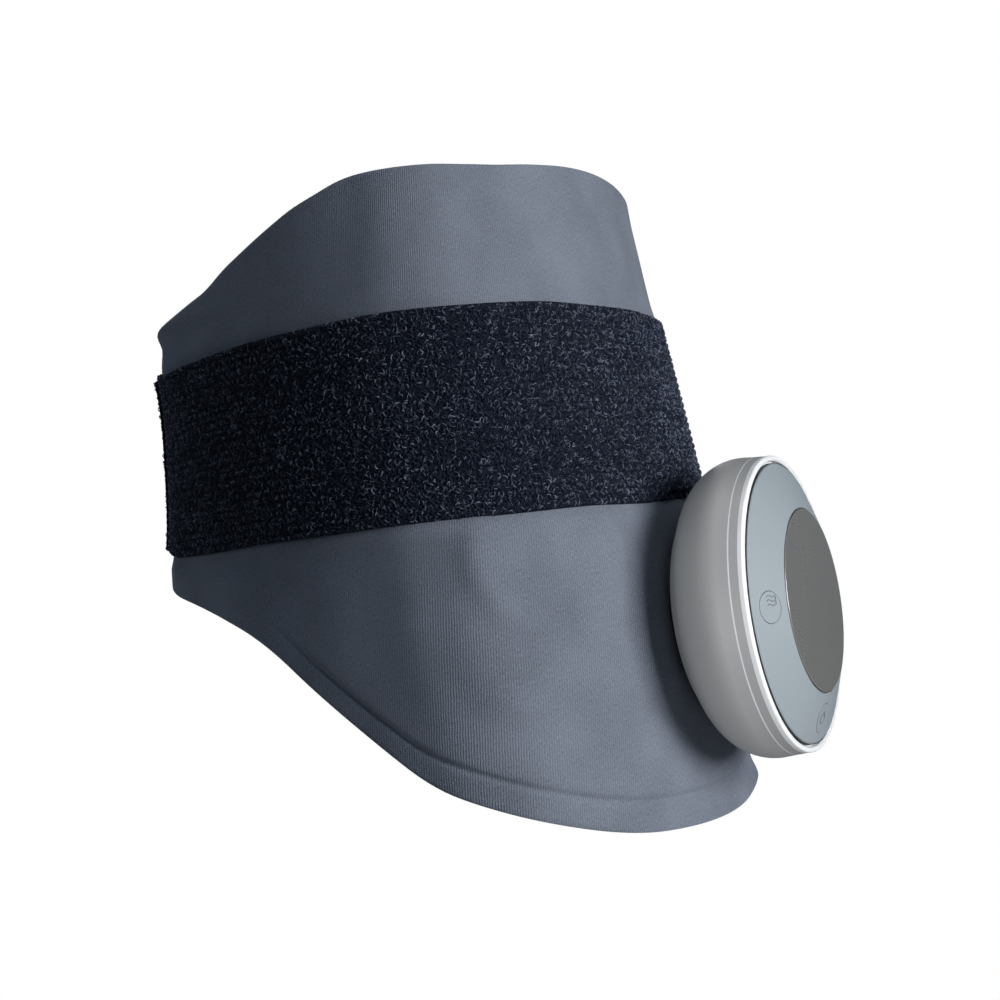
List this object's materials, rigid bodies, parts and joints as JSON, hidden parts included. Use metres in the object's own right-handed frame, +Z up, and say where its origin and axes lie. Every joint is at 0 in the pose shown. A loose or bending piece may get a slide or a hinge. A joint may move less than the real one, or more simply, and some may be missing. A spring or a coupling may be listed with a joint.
{
  "type": "heated arm massager",
  "caption": "Heated massage wrap for an arm or knee: a foam sleeve open at the back, a loop-pile strap round it and a round control pod with press keys.",
  "frame": {"origin": "on the axis of the limb that the wrap is worn on, at the mid-height of the wrap", "axes": "+Z up along the limb; -Y out of the front, where the pod is; +Y at the back opening; the near wing, which opens, is on -X"},
  "size_m": [0.1442, 0.1889, 0.168],
  "materials": {
    "knit_fabric": "fine vertical knit bonded to foam, matt",
    "foam": "closed-cell foam",
    "lining": "brushed tricot lining",
    "film": "thin heating film",
    "sensor": "bead sensor in epoxy",
    "lead": "flat two-core lead",
    "loop_webbing": "elastic webbing with brushed loop pile",
    "hook_plastic": "moulded hook patch",
    "pod_grey": "fine satin moulded plastic",
    "white_plastic": "white moulded plastic, semi-gloss",
    "face_silicone": "blue-grey silicone skin, matt",
    "window": "dark tinted window",
    "black_plastic": "moulded plastic",
    "board": "glass-epoxy board with solder mask",
    "battery_wrap": "foil pouch cell",
    "steel": "zinc-plated steel",
    "magnet": "nickel-plated magnet",
    "gold_contact": "gold-plated brass"
  },
  "bodies": {
    "root": {"front_outer_fabric": "knit_fabric", "front_foam_core": "foam", "front_lining": "lining", "heating_film": "film", "pad_foam": "foam", "pad_cover": "lining", "heat_sensor": "sensor", "motor_leads": "lead", "massage_cup_near": "black_plastic", "massage_lid_near": "black_plastic", "massage_motor_near": "steel", "massage_cup_far": "black_plastic", "massage_lid_far": "black_plastic", "massage_motor_far": "steel", "strap_front": "loop_webbing", "dock_plate": "black_plastic", "dock_magnets": "magnet", "dock_pins": "gold_contact", "dock_backing": "black_plastic", "dock_screws": "steel"},
    "near_wing": {"wing_outer_fabric": "knit_fabric", "wing_foam_core": "foam", "wing_lining": "lining", "strap_side": "loop_webbing", "strap_hem": "loop_webbing"},
    "strap_end": {"strap_tab": "loop_webbing", "hook_patch": "hook_plastic"},
    "pod": {"rear_shell": "pod_grey", "front_bezel": "pod_grey", "seam_ring": "white_plastic", "light_ring": "white_plastic", "face_plate": "face_silicone", "display_window": "window", "display_module": "black_plastic", "main_board": "board", "led_ring": "board", "key_switches": "steel", "chassis": "black_plastic", "battery": "battery_wrap", "battery_pad": "foam", "buzzer": "black_plastic", "charge_port": "steel", "pod_magnets": "magnet", "pod_contacts": "gold_contact", "pod_screws": "steel"},
    "heat_key": {"heat_key": "face_silicone"},
    "massage_key": {"massage_key": "face_silicone"},
    "power_key": {"power_key": "face_silicone"}
  },
  "joints": [
    {"name": "wing_swing", "type": "hinge", "parent": "root", "child": "near_wing", "pos_m": [-0.0652, 0.02, 0.021], "axis": [0, 0, 1], "range_deg": [0, 70]},
    {"name": "strap_peel", "type": "hinge", "parent": "near_wing", "child": "strap_end", "pos_m": [-0.006, 0.0836, 0.021], "axis": [0, 0, 1], "range_deg": [0, 80]},
    {"name": "pod_pull", "type": "slide", "parent": "root", "child": "pod", "axis": [0, -0.9994, 0.0349], "range_m": [0, 0.03]},
    {"name": "heat_press", "type": "slide", "parent": "pod", "child": "heat_key", "axis": [0.3805, 0.9237, -0.0456], "range_m": [0, 0.0005], "stiffness_N_per_m": 2000, "springref_m": -0.0001},
    {"name": "massage_press", "type": "slide", "parent": "pod", "child": "massage_key", "axis": [-0.3805, 0.9237, -0.0456], "range_m": [0, 0.0005], "stiffness_N_per_m": 2000, "springref_m": -0.0001},
    {"name": "power_press", "type": "slide", "parent": "pod", "child": "power_key", "axis": [0.0266, 0.9374, 0.3473], "range_m": [0, 0.0005], "stiffness_N_per_m": 2000, "springref_m": -0.0001}
  ]
}
